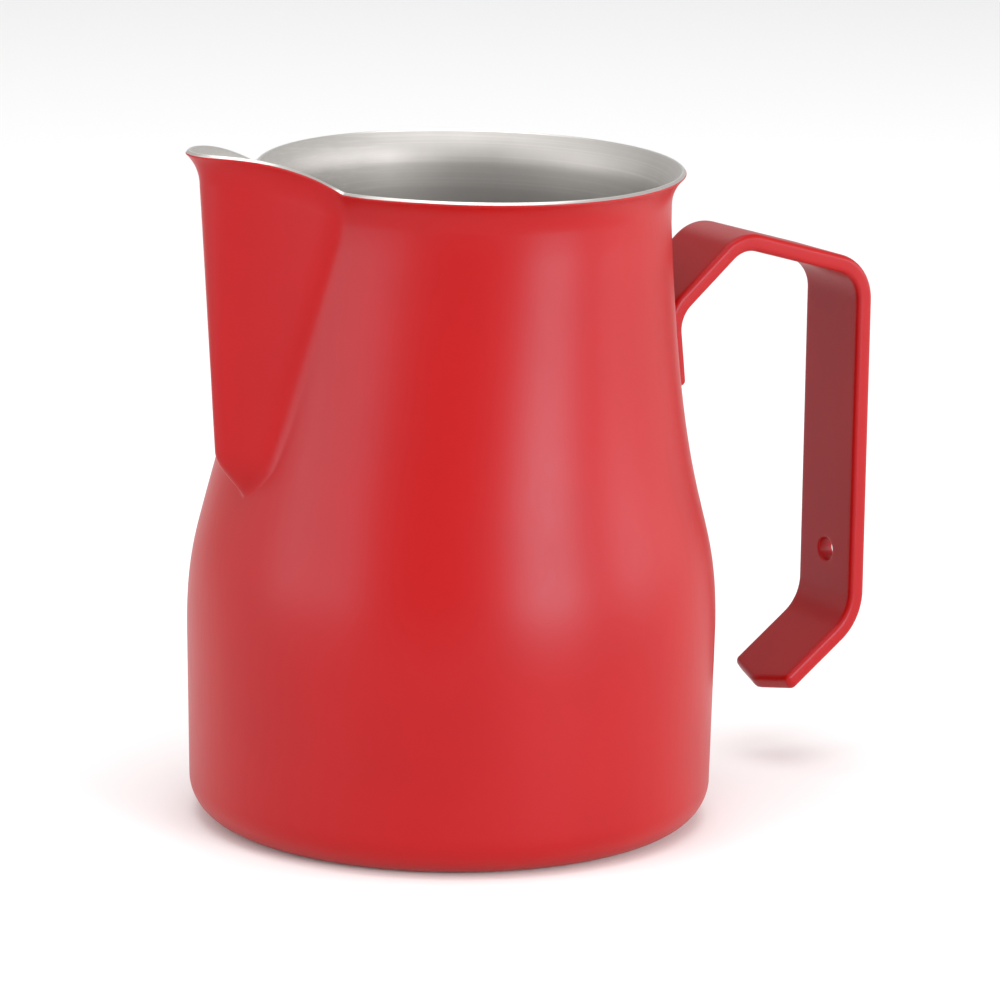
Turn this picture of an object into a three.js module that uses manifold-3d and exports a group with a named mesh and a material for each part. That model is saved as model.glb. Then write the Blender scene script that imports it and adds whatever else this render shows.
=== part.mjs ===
// Milk frothing pitcher: a drawn sheet body with a flared lip and a pressed spout, and a bent flat-bar handle
// held by two weld nuggets.
// Millimetres. Z is up, the base stands on Z = 0 and the body's axis is the Z axis.
// The spout points along -X and the handle along +X, so Y = 0 is the plane of symmetry.
import * as THREE from "three";
import { mergeVertices } from "three/addons/utils/BufferGeometryUtils.js";
import Module from "manifold-3d";

const wasm = await Module();
wasm.setup();

// ---- Driving dimensions (mm, degrees) ----

const sheet = 0.9; // thickness of the drawn sheet
const fitGap = 0.3; // clearance between pieces that touch

const body = {
  rimHeight: 109.7, // outer edge of the lip
  baseRadius: 43.9, // outside radius just above the base fillet
  baseFillet: 6.7,
  standWidth: 3.2, // flat ring that the pitcher stands on
  recessDepth: 0.6, // stamped panel inside the ring
  recessStep: 1.2, // width of the slope between ring and panel
  bellyRadius: 44.4, // widest radius
  bellyHeight: 33,
  shoulderPull: 0.33, // how far the belly's vertical tangent reaches up the shoulder, as a share of the rise
  neckPull: 0.78, // the same for the neck's tangent, reaching down
  neckRadius: 35.6,
  neckDrop: 8.4, // the neck's straight part starts this far under the rim
  neckTaper: 3, // lean of the neck, degrees
  lipDrop: 5.2, // height of the flared lip
  lipFlare: 2.4, // how far the lip stands out
};

const spout = {
  footHeight: 58.5, // where the keel leaves the belly
  noseHeight: 8, // height over which the keel comes out to its full reach
  reach: 12.7, // keel in front of the neck, at the lip
  rake: 0.07, // keel's lean outwards, mm per mm of height
  halfAngle: 20.5, // half the azimuth that the spout takes out of the neck, at the lip
  halfAngleRate: 0.33, // how fast that narrows on the way down, degrees per mm
  keelRadius: 3.6, // rounding of the keel at the lip
  keelRadiusRate: 0.09, // how fast that tightens on the way down, mm per mm
  smallestHalfAngle: 1,
  smallestKeel: 1.2,
  blend: 2.8, // depth of the soft valley between spout and neck
  leastSlope: 0.1, // the section runs on into the neck by at least this share of the radius per radian
  blendSpan: 10, // azimuth past the half angle that the valley can take up
  drawIn: 4.1, // how far pressing the spout has drawn the neck in beside it, at the lip
  drawInFrom: 33, // azimuth from the keel where the neck is drawn in fully
  drawInTo: 105, // azimuth where it is round again
  tipRise: 6.1, // height of the tip above the rim
  riseDrop: 40, // the rise starts this far under the rim
  risePower: 0.85, // under 1 the rise is fuller beside the tip
  cornerCalm: 0.45, // share of the flare that the inner corners lose
  cornerSpan: 8.5, // azimuth over which they lose it, degrees
};

const bar = {
  width: 16,
  thickness: 3,
  edgeRound: 0.8,
  fingerGap: 32.4, // between belly and grip
  footDrop: 39.3, // foot's lower end under the rim
  footBendDrop: 26.7,
  riseAngle: 40, // slope from foot to top
  apexDrop: 15,
  topBendDrop: 22.4,
  lowerBendHeight: 25.8,
  tailAngle: 36.5, // slope of the tail under the horizontal
  tailLength: 19.6, // from the lower bend's corner to the point of the end
  endAngle: 16.5, // each half of the end is cut back by this
  footBendRadius: 6.5,
  apexRadius: 6.4,
  topBendRadius: 7.2,
  lowerBendRadius: 9,
};

const hole = { radius: 1.95, soften: 0.3, height: 36.6 }; // hanging hole through the grip
const nugget = { radius: 1.7, depth: 1.2, pitch: 4.6 }; // welds between foot and neck

// Steps of the facets
const steps = { spoutHalf: 14, round: 30, fillet: 4, belly: 2, lip: 4, bend: 6, circle: 24 };
const shoulderSteps = { belowFoot: 5, nose: 5, aboveNose: 7 };
const keelStep = 0.35; // step of the angles at the keel, as a share of the even step

const rad = THREE.MathUtils.degToRad;
const clamp = THREE.MathUtils.clamp;

// ---- Body ----

const neckHeight = body.rimHeight - body.neckDrop;
const lipHeight = body.rimHeight - body.lipDrop;
const neckSlope = Math.tan(rad(body.neckTaper));

// The shoulder is one cubic curve: upright at the belly, leaning by the neck's taper at the neck.
const rise = neckHeight - body.bellyHeight;
const shoulder = new THREE.CubicBezierCurve(
  new THREE.Vector2(body.bellyRadius, body.bellyHeight),
  new THREE.Vector2(body.bellyRadius, body.bellyHeight + body.shoulderPull * rise),
  new THREE.Vector2(body.neckRadius + body.neckPull * rise * neckSlope, neckHeight - body.neckPull * rise),
  new THREE.Vector2(body.neckRadius, neckHeight),
);

// Outside radius of the round body at a height between belly and neck, by halving on the shoulder curve.
function shoulderRadiusAt(height) {
  const halvings = 30;
  let low = 0;
  let high = 1;
  for (let i = 0; i < halvings; i++) {
    const middle = (low + high) / 2;
    if (shoulder.getPoint(middle).y < height) low = middle;
    else high = middle;
  }
  return shoulder.getPoint(low).x;
}

// Heights of the shoulder's rows, close together where the spout's nose comes out of it.
function shoulderHeights() {
  const stops = [body.bellyHeight, spout.footHeight, spout.footHeight + spout.noseHeight, neckHeight];
  const counts = [shoulderSteps.belowFoot, shoulderSteps.nose, shoulderSteps.aboveNose];
  const heights = counts.flatMap((count, i) =>
    Array.from({ length: count }, (_, k) => THREE.MathUtils.lerp(stops[i], stops[i + 1], k / count)),
  );
  return [...heights, neckHeight];
}

// Half profile of the round body from the middle of the base to the lip: radius, height, and how far the
// lip's arc has carried the wall outwards.
function bodyRows() {
  const filletRadius = body.baseRadius - body.baseFillet;
  const ringRadius = filletRadius - body.standWidth;
  const rows = [
    { radius: 0, height: body.recessDepth, flare: 0 },
    { radius: ringRadius - body.recessStep, height: body.recessDepth, flare: 0 },
    { radius: ringRadius, height: 0, flare: 0 },
  ];
  for (let i = 0; i <= steps.fillet; i++) {
    const turn = (i / steps.fillet) * (Math.PI / 2);
    rows.push({
      radius: filletRadius + body.baseFillet * Math.sin(turn),
      height: body.baseFillet * (1 - Math.cos(turn)),
      flare: 0,
    });
  }
  for (let i = 1; i < steps.belly; i++) {
    const share = i / steps.belly;
    rows.push({
      radius: THREE.MathUtils.lerp(body.baseRadius, body.bellyRadius, share),
      height: THREE.MathUtils.lerp(body.baseFillet, body.bellyHeight, share),
      flare: 0,
    });
  }
  for (const height of shoulderHeights()) rows.push({ radius: shoulderRadiusAt(height), height, flare: 0 });
  const lipEnd = 2 * Math.atan(body.lipFlare / body.lipDrop);
  const lipRadius = body.lipDrop / Math.sin(lipEnd);
  for (let i = 0; i <= steps.lip; i++) {
    const turn = (i / steps.lip) * lipEnd;
    rows.push({
      radius: body.neckRadius,
      height: lipHeight + lipRadius * Math.sin(turn),
      flare: lipRadius * (1 - Math.cos(turn)),
    });
  }
  return rows;
}

// Height on the spout's own scale: the flared lip carries on the section that it starts from.
const sectionHeight = (row) => Math.min(row.height, lipHeight);

// How far the neck is drawn in beside the spout: fully next to it, not at all at its foot.
function drawnIn(row) {
  const over = sectionHeight(row) - spout.footHeight;
  return (spout.drawIn * Math.max(over, 0)) / (lipHeight - spout.footHeight);
}

// Radius of the wall without its spout.
function wallRadius(angle, row) {
  const away = THREE.MathUtils.smoothstep(Math.abs(angle), rad(spout.drawInFrom), rad(spout.drawInTo));
  return row.radius - drawnIn(row) * (1 - away);
}

// How far the spout's section stands out of that wall at an angle from the keel. The section is the conic
// v^2 = 2 k d + m d^2, with v across and d back from the keel, k the keel's rounding and m chosen so that it
// meets the wall at the half angle. Past that it runs on down its own slope, and a parabola joins it to the
// wall, as deep as the blend or, at the nose, as half of what the spout stands out.
function spoutExcess(angle, row) {
  const height = sectionHeight(row);
  const over = height - spout.footHeight;
  if (over <= 0) return 0;
  const drop = lipHeight - height;
  const wall = wallRadius(0, row);
  const out = Math.sin((Math.PI / 2) * clamp(over / spout.noseHeight, 0, 1));
  const full = body.neckRadius + spout.reach - spout.rake * drop - wall;
  const reach = out * Math.max(full, 0);
  if (reach <= 0) return 0;
  const halfDegrees = Math.max(spout.halfAngle - spout.halfAngleRate * drop, spout.smallestHalfAngle);
  const half = rad(halfDegrees) * Math.sqrt(out);
  const keel = Math.max(spout.keelRadius - spout.keelRadiusRate * drop, spout.smallestKeel) * Math.sqrt(out);
  const tip = wall + reach;
  const across = wall * Math.sin(half);
  const back = tip - wall * Math.cos(half);
  const conic = (across * across - 2 * keel * back) / (back * back);
  const turn = Math.min(Math.abs(angle), half);
  const a = Math.tan(turn) ** 2 - conic;
  const b = 2 * (keel + conic * tip);
  const c = tip * (2 * keel + conic * tip);
  const along = (2 * c) / (b + Math.sqrt(Math.max(b * b + 4 * a * c, 0)));
  let excess = along / Math.cos(turn) - wall;
  if (Math.abs(angle) > half) {
    const gradientAlong = 2 * keel + 2 * conic * back;
    const gradientAcross = 2 * across;
    const slope =
      (wall * (gradientAlong * Math.sin(half) - gradientAcross * Math.cos(half))) /
      (gradientAlong * Math.cos(half) + gradientAcross * Math.sin(half));
    excess += Math.min(slope, -spout.leastSlope * wall) * (Math.abs(angle) - half);
  }
  const blend = Math.min(spout.blend, reach / 2);
  if (excess <= -blend) return 0;
  if (excess >= blend) return excess;
  return (excess + blend) ** 2 / (4 * blend);
}

// A point of the body's outside. The lip leaves its section along the section's own normal, and the tip rises
// with the spout's excess.
function bodyPoint(angle, row) {
  const sectionRadius = (at) => wallRadius(at, row) + spoutExcess(at, row);
  const radius = sectionRadius(angle);
  const tiny = 1e-4;
  const change = (sectionRadius(angle + tiny) - sectionRadius(angle - tiny)) / (2 * tiny);
  const normal = new THREE.Vector2(
    radius * Math.cos(angle) + change * Math.sin(angle),
    radius * Math.sin(angle) - change * Math.cos(angle),
  ).normalize();
  const corner = (Math.abs(angle) - rad(spout.halfAngle)) / rad(spout.cornerSpan);
  const flare = row.flare * (1 - spout.cornerCalm * Math.exp(-corner * corner));
  const lipRow = { radius: body.neckRadius, height: lipHeight };
  const share = clamp(spoutExcess(angle, lipRow) / (spout.reach + spout.drawIn), 0, 1);
  const tipRise = spout.tipRise * Math.sin((Math.PI / 2) * share ** spout.risePower);
  const lift = THREE.MathUtils.smoothstep(row.height, body.rimHeight - spout.riseDrop, body.rimHeight);
  return new THREE.Vector3(
    -(radius * Math.cos(angle) + flare * normal.x),
    -(radius * Math.sin(angle) + flare * normal.y),
    row.height + tipRise * lift,
  );
}

// Angles from the keel: closest at the keel, close over the spout and wider round the rest.
function bodyAngles() {
  const spoutEnd = rad(spout.halfAngle + spout.blendSpan);
  const angles = [];
  for (let i = -steps.spoutHalf; i < steps.spoutHalf; i++) {
    const share = Math.abs(i) / steps.spoutHalf;
    angles.push(Math.sign(i) * spoutEnd * (keelStep * share + (1 - keelStep) * share * share));
  }
  const rest = 2 * (Math.PI - spoutEnd);
  for (let i = 0; i < steps.round; i++) angles.push(spoutEnd + (i / steps.round) * rest);
  return angles.map((angle) => (angle > Math.PI ? angle - 2 * Math.PI : angle));
}

// The sheet: an outer grid, an inner grid one thickness in along the outer grid's normals, and the rim
// between them.
function bodyGeometry() {
  const rows = bodyRows();
  const angles = bodyAngles();
  const count = angles.length;
  const outer = rows.map((row) => angles.map((angle) => bodyPoint(angle, row)));
  const inner = outer.map((ring, i) =>
    ring.map((point, j) => {
      if (i === 0) return new THREE.Vector3(0, 0, point.z + sheet);
      const up = outer[Math.min(i + 1, rows.length - 1)][j].clone().sub(outer[i - 1][j]);
      const round = ring[(j + 1) % count].clone().sub(ring[(j + count - 1) % count]);
      const normal = round.cross(up).normalize();
      return point.clone().addScaledVector(normal, -sheet);
    }),
  );
  const positions = [];
  const indices = [];
  const addRing = (ring) => {
    const start = positions.length / 3;
    for (const point of ring) positions.push(point.x, point.y, point.z);
    return start;
  };
  const bridge = (low, high) => {
    for (let j = 0; j < count; j++) {
      const k = (j + 1) % count;
      indices.push(low + j, low + k, high + k, low + j, high + k, high + j);
    }
  };
  const outerPole = addRing([outer[0][0]]);
  const rings = [...outer.slice(1), ...inner.slice(1).reverse()].map(addRing);
  const innerPole = addRing([inner[0][0]]);
  for (let j = 0; j < count; j++) {
    const k = (j + 1) % count;
    indices.push(outerPole, rings[0] + k, rings[0] + j);
    indices.push(innerPole, rings.at(-1) + j, rings.at(-1) + k);
  }
  for (let i = 0; i + 1 < rings.length; i++) bridge(rings[i], rings[i + 1]);
  return new THREE.BufferGeometry()
    .setAttribute("position", new THREE.Float32BufferAttribute(positions, 3))
    .setIndex(indices);
}

// ---- Solids for cutting ----

function toSolid(geometry) {
  const bare = geometry.clone();
  bare.deleteAttribute("normal");
  bare.deleteAttribute("uv");
  const merged = mergeVertices(bare, 1e-4);
  return new wasm.Manifold(
    new wasm.Mesh({
      numProp: 3,
      vertProperties: new Float32Array(merged.attributes.position.array),
      triVerts: new Uint32Array(merged.index.array),
    }),
  );
}

function toGeometry(solid) {
  const mesh = solid.getMesh();
  const geometry = new THREE.BufferGeometry()
    .setAttribute("position", new THREE.BufferAttribute(mesh.vertProperties, 3))
    .setIndex(new THREE.BufferAttribute(mesh.triVerts, 1));
  geometry.computeVertexNormals();
  return geometry;
}

// ---- Handle bar ----

// Corners of the bar's middle line in the plane of symmetry, from the foot's lower end to the tail's point.
const footHeight = body.rimHeight - bar.footDrop;
const footBendHeight = body.rimHeight - bar.footBendDrop;
const apexHeight = body.rimHeight - bar.apexDrop;
const footOffset = fitGap + bar.thickness / 2;
const footEnd = new THREE.Vector2(shoulderRadiusAt(footHeight) + footOffset, footHeight);
const footBend = new THREE.Vector2(shoulderRadiusAt(footBendHeight) + footOffset, footBendHeight);
const apexReach = footBend.x + (apexHeight - footBendHeight) / Math.tan(rad(bar.riseAngle));
const apex = new THREE.Vector2(apexReach, apexHeight);
const gripReach = body.bellyRadius + bar.fingerGap + bar.thickness / 2;
const topBend = new THREE.Vector2(gripReach, body.rimHeight - bar.topBendDrop);
const lowerBend = new THREE.Vector2(gripReach, bar.lowerBendHeight);
const tailWay = new THREE.Vector2(-Math.cos(rad(bar.tailAngle)), -Math.sin(rad(bar.tailAngle)));
const tailPoint = lowerBend.clone().addScaledVector(tailWay, bar.tailLength);

// One long side of the strip: the middle line's corners carried sideways, each bend an arc about its own
// centre.
function stripSide(corners, radii, offset) {
  const across = (from, to) => {
    const way = to.clone().sub(from).normalize();
    return new THREE.Vector2(-way.y, way.x).multiplyScalar(offset);
  };
  const last = corners.length - 1;
  const side = [corners[0].clone().add(across(corners[0], corners[1]))];
  for (let i = 1; i < last; i++) {
    const back = corners[i - 1].clone().sub(corners[i]).normalize();
    const on = corners[i + 1].clone().sub(corners[i]).normalize();
    const half = Math.acos(back.dot(on)) / 2;
    const middle = back.clone().add(on).normalize();
    const centre = corners[i].clone().addScaledVector(middle, radii[i - 1] / Math.sin(half));
    const start = corners[i].clone().addScaledVector(back, radii[i - 1] / Math.tan(half));
    const turn = Math.sign(back.x * on.y - back.y * on.x) * (2 * half - Math.PI);
    const radius = start.clone().sub(centre);
    radius.add(across(corners[i - 1], corners[i]));
    for (let k = 0; k <= steps.bend; k++)
      side.push(radius.clone().rotateAround(new THREE.Vector2(), (k / steps.bend) * turn).add(centre));
  }
  side.push(corners[last].clone().add(across(corners[last - 1], corners[last])));
  return side;
}

function barSolid() {
  const corners = [footEnd, footBend, apex, topBend, lowerBend, tailPoint];
  const radii = [bar.footBendRadius, bar.apexRadius, bar.topBendRadius, bar.lowerBendRadius];
  const left = stripSide(corners, radii, bar.thickness / 2);
  const right = stripSide(corners, radii, -bar.thickness / 2);
  const strip = new THREE.ExtrudeGeometry(new THREE.Shape([...right, ...left.reverse()]), {
    depth: bar.width - 2 * bar.edgeRound,
    bevelSize: bar.edgeRound,
    bevelThickness: bar.edgeRound,
    bevelOffset: -bar.edgeRound,
    bevelSegments: 2,
    curveSegments: 1,
  });
  strip.translate(0, 0, -(bar.width - 2 * bar.edgeRound) / 2);
  strip.rotateX(Math.PI / 2);
  let solid = toSolid(strip);
  for (const side of [-1, 1]) solid = solid.subtract(toSolid(endCutter(side)));
  solid = solid.subtract(toSolid(holeCutter()));
  for (const place of nuggetPlaces) {
    const pocket = disc(nugget.radius + fitGap, 2 * (nugget.depth + fitGap));
    solid = solid.subtract(toSolid(atFoot(pocket, place)));
  }
  return solid;
}

// A block in front of the tail's point, turned so that its near face cuts one half of the end back.
function endCutter(side) {
  const size = 2 * bar.width;
  const block = new THREE.BoxGeometry(size, size, size);
  block.translate(size / 2, (side * size) / 2, 0);
  block.rotateZ(side * rad(bar.endAngle));
  const along = new THREE.Vector3(tailWay.x, 0, tailWay.y);
  const across = new THREE.Vector3(0, 1, 0);
  const frame = new THREE.Matrix4().makeBasis(along, across, along.clone().cross(across));
  frame.setPosition(tailPoint.x, 0, tailPoint.y);
  return block.applyMatrix4(frame);
}

// The hole with its softened edges, as one turned shape along X.
function holeCutter() {
  const half = bar.thickness / 2;
  const mouth = hole.radius + 2 * hole.soften;
  const profile = [
    [0, -half - hole.soften],
    [mouth, -half - hole.soften],
    [hole.radius, -half + hole.soften],
    [hole.radius, half - hole.soften],
    [mouth, half + hole.soften],
    [0, half + hole.soften],
  ].map(([radius, along]) => new THREE.Vector2(radius, along));
  const cutter = new THREE.LatheGeometry(profile, steps.circle);
  cutter.rotateZ(-Math.PI / 2);
  return cutter.translate(gripReach, 0, hole.height);
}

// ---- Weld nuggets ----

// Middles of the nuggets along the foot, measured from the middle of the foot's flat length.
const nuggetPlaces = [nugget.pitch / 2, -nugget.pitch / 2];

function disc(radius, depth) {
  return new THREE.CylinderGeometry(radius, radius, depth, steps.circle).rotateZ(Math.PI / 2);
}

const footWay = footBend.clone().sub(footEnd).normalize();
const footOut = new THREE.Vector2(footWay.y, -footWay.x);

// The point of the foot's inner face at a place along its flat length.
function footPoint(place) {
  const bendReach = (bar.footBendRadius * Math.tan((Math.PI / 2 - rad(bar.riseAngle)) / 2)) / 2;
  const middle = footEnd.clone().add(footBend).multiplyScalar(0.5);
  return middle.addScaledVector(footWay, place - bendReach).addScaledVector(footOut, -bar.thickness / 2);
}

// Carries a shape made about the origin, with X out of the foot, to the foot's inner face.
function atFoot(geometry, place) {
  const frame = new THREE.Matrix4().makeBasis(
    new THREE.Vector3(footOut.x, 0, footOut.y),
    new THREE.Vector3(0, 1, 0),
    new THREE.Vector3(-footOut.y, 0, footOut.x),
  );
  const point = footPoint(place);
  frame.setPosition(point.x, 0, point.y);
  return geometry.applyMatrix4(frame);
}

// A nugget reaches from its pocket in the foot across to the neck, less the clearance.
function nuggetGeometry(place) {
  const point = footPoint(place);
  const across = (point.x - shoulderRadiusAt(point.y)) * footOut.x - fitGap;
  const lens = disc(nugget.radius, nugget.depth + across).translate((nugget.depth - across) / 2, 0, 0);
  return atFoot(lens, place);
}

// ---- The assembly ----

const redCoat = new THREE.MeshStandardMaterial({ color: 0xc81c16, roughness: 0.38, metalness: 0 });
const bareSteel = new THREE.MeshStandardMaterial({ color: 0xb4b2ae, roughness: 0.35, metalness: 1 });

function named(name, geometry, material) {
  const mesh = new THREE.Mesh(geometry, material);
  mesh.name = name;
  return mesh;
}

const pitcher = new THREE.Group();
pitcher.add(named("pitcher_body", bodyGeometry(), redCoat));
pitcher.add(named("handle_bar", toGeometry(barSolid()), redCoat));
["weld_nugget_upper", "weld_nugget_lower"].forEach((name, i) => {
  pitcher.add(named(name, nuggetGeometry(nuggetPlaces[i]), bareSteel));
});

export default pitcher;
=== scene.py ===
# Milk frothing pitcher: a drawn steel jug with a pressed spout, coated red outside and bare inside,
# and a handle bent from one flat bar that is welded to the neck by its foot.
# The base stands on z = 0, the spout points along -X and the handle along +X.
import math
import bpy
import bmesh
import numpy as np
from mathutils import Matrix, Vector


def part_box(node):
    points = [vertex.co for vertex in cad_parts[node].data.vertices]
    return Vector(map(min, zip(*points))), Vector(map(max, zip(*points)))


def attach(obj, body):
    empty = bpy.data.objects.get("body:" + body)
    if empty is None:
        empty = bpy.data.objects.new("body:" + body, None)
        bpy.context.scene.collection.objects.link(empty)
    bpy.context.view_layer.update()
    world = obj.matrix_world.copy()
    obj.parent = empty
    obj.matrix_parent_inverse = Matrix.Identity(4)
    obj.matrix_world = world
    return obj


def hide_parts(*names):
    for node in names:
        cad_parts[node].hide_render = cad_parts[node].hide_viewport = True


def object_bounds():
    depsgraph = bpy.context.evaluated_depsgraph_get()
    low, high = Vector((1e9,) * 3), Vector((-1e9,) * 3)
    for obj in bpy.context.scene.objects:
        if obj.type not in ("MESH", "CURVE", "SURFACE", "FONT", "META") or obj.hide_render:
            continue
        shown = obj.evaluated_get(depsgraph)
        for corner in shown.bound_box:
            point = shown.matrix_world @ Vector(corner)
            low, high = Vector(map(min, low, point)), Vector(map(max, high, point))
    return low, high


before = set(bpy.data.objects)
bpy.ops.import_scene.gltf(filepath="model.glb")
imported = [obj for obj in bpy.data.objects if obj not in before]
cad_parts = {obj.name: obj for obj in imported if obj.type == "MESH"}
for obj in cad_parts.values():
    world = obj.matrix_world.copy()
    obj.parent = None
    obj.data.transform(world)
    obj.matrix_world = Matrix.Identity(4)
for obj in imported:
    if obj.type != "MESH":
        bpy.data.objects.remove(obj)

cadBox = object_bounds()
mm = 0.001
print("frame loaded:", sorted(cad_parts))


# Meshes from grids of points

def smooth(x, start, end):
    # 3t^2 - 2t^3, with t running from 0 at start to 1 at end
    t = np.clip((x - start) / (end - start), 0, 1)
    return t * t * (3 - 2 * t)


def unit(vectors):
    length = np.linalg.norm(vectors, axis=-1, keepdims=True)
    return vectors / np.maximum(length, 1e-12)


def gridQuads(rows, columns):
    # Faces of a grid that closes on itself along its columns, as corner numbers; its rows stay open
    first = np.arange((rows - 1) * columns).reshape(rows - 1, columns)
    after = np.roll(first, -1, axis=1)
    return np.stack([first, after, after + columns, first + columns], axis=-1).reshape(-1, 4)


def gridNormals(points):
    # round x up, from the differences between neighbours
    around = np.roll(points, -1, axis=1) - np.roll(points, 1, axis=1)
    return unit(np.cross(around, np.gradient(points, axis=0)))


def makePiece(name, points, quads, edge, material):
    # points in millimetres; edge is 1 where the piece's rounded edges are and 0 on its faces
    mesh = bpy.data.meshes.new(name)
    mesh.vertices.add(len(points))
    mesh.vertices.foreach_set("co", (points * mm).astype(np.float32).ravel())
    mesh.loops.add(quads.size)
    mesh.loops.foreach_set("vertex_index", quads.astype(np.int32).ravel())
    mesh.polygons.add(len(quads))
    mesh.polygons.foreach_set("loop_start", np.arange(0, quads.size, 4, dtype=np.int32))
    mesh.polygons.foreach_set("use_smooth", np.ones(len(quads), dtype=bool))
    mesh.attributes.new("edge", "FLOAT", "POINT").data.foreach_set("value", edge.astype(np.float32).ravel())
    mesh.update(calc_edges=True)
    shape = bmesh.new()  # poles and the middle lines of flat ends come together here
    shape.from_mesh(mesh)
    bmesh.ops.remove_doubles(shape, verts=shape.verts, dist=1e-7)
    bmesh.ops.dissolve_degenerate(shape, edges=shape.edges, dist=1e-8)
    shape.to_mesh(mesh)
    shape.free()
    piece = bpy.data.objects.new(name, mesh)
    bpy.context.scene.collection.objects.link(piece)
    mesh.materials.append(material)
    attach(piece, "root")
    print(name, "made:", len(mesh.polygons), "faces")
    return piece


# Shader maths

class Wire:
    # One output socket of a node; arithmetic on it adds Math nodes
    def __init__(self, tree, socket):
        self.tree = tree
        self.socket = socket

    def maths(self, operation, *values):
        return self.tree.node("ShaderNodeMath", {"operation": operation}, dict(enumerate(values)))

    def __add__(self, other): return self.maths("ADD", self, other)
    def __radd__(self, other): return self.maths("ADD", other, self)
    def __sub__(self, other): return self.maths("SUBTRACT", self, other)
    def __rsub__(self, other): return self.maths("SUBTRACT", other, self)
    def __mul__(self, other): return self.maths("MULTIPLY", self, other)
    def __rmul__(self, other): return self.maths("MULTIPLY", other, self)
    def __pow__(self, other): return self.maths("POWER", self, other)

    def between(self, low, high):
        # 0 below low, 1 above high and a smooth step between
        settings = {"interpolation_type": "SMOOTHSTEP"}
        inputs = {"Value": self, "From Min": low, "From Max": high}
        return self.tree.node("ShaderNodeMapRange", settings, inputs)


class Finish:
    # A material whose nodes are made by one method
    def __init__(self, name):
        self.material = bpy.data.materials.new(name)
        self.material.use_nodes = True
        self.nodes = self.material.node_tree.nodes
        self.links = self.material.node_tree.links
        self.surface = self.nodes["Principled BSDF"]

    def node(self, kind, settings=None, inputs=None, output=0):
        made = self.nodes.new(kind)
        for key, value in (settings or {}).items():
            setattr(made, key, value)
        self.feed(made, inputs or {})
        return Wire(self, made.outputs[output])

    def feed(self, target, inputs):
        for key, value in inputs.items():
            if isinstance(value, Wire):
                self.links.new(value.socket, target.inputs[key])
            else:
                target.inputs[key].default_value = value

    def place(self):
        # The point in the piece's own space, in metres
        return self.node("ShaderNodeTexCoord", output="Object")

    def parts(self, vector):
        apart = self.node("ShaderNodeSeparateXYZ", inputs={0: vector}).socket.node
        return [Wire(self, apart.outputs[i]) for i in range(3)]

    def joined(self, x, y, z):
        return self.node("ShaderNodeCombineXYZ", inputs={0: x, 1: y, 2: z})

    def scaled(self, vector, by):
        return self.node("ShaderNodeVectorMath", {"operation": "MULTIPLY"}, {0: vector, 1: by})

    def noise(self, vector, scale, detail=2.0, rough=0.5):
        return self.node("ShaderNodeTexNoise", inputs={
            "Vector": vector, "Scale": scale, "Detail": detail, "Roughness": rough})

    def mixed(self, factor, first, second):
        # First colour to second by a factor. Sockets 6 and 7 are the Mix node's colours, output 2 the result.
        return self.node("ShaderNodeMix", {"data_type": "RGBA"}, {0: factor, 6: first, 7: second}, output=2)

    def bumped(self, height, depth, before=None):
        # depth in metres for a height from 0 to 1
        inputs = {"Height": height, "Distance": depth, "Strength": 1.0}
        if before is not None:
            inputs["Normal"] = before
        return self.node("ShaderNodeBump", inputs=inputs)

    def edge(self):
        return self.node("ShaderNodeAttribute", {"attribute_name": "edge"}, output="Fac")


# Finishes

coatLook = {
    "red": (0.326, 0.0019, 0.0010, 1),
    "deepRed": (0.312, 0.0016, 0.0009, 1),  # where the powder lies a little thicker
    "thinRedAndEdgeSheen": (0.366, 0.0082, 0.0054, 1),  # where it draws back from edges, and a painted highlight along them
    "scuff": (0.330, 0.0400, 0.0340, 1),
    "roughness": 0.39,
    "roughnessSpread": 0.05,
    "level": 0.304,
    "sheenTint": (0.30, 0.80, 0.92, 1),
    "mottleScale": 38,
    "thinAndSheenScale": 420,
    "thinAndSheenShare": 0.55,
    "rubbedScale": 900,
    "rubbedHeight": 0.0011,  # the scuffs reach this far up from the standing ring, in metres
    "rubbedShare": 0.7,
    "brushedScale": (900, 900, 160),
    "peelScale": 620,
    "peelDepth": 0.000006,
    "grainScale": 3400,
    "grainDepth": 0.0000022,
}

steelLook = {
    "steel": (0.500, 0.479, 0.459, 1),
    "dull": (0.458, 0.438, 0.419, 1),
    # lighter steel: the polishing rings, and the rim's painted highlight
    "bright": (0.66, 0.635, 0.605, 1),
    "tint": (0.430, 0.340, 0.230, 1),  # straw colour that the heat of a weld leaves
    "roughness": 0.60,
    "rimRoughness": 0.34,
    "lineScale": 2600,
    "fineScale": 5200,
    "lineDepth": 0.0000035,
    "cloudScale": 55,
    "markInside": 0.0016,  # a weld mark is whole inside this radius and gone outside the next, in metres
    "markOutside": 0.0034,
}


weldLook = {
    "blue": (0.30, 0.31, 0.36, 1),
    "rippleScale": 1400,
    "rippleDepth": 0.00004,
    "heatScale": 500,
    "roughness": 0.38,
}


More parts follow.
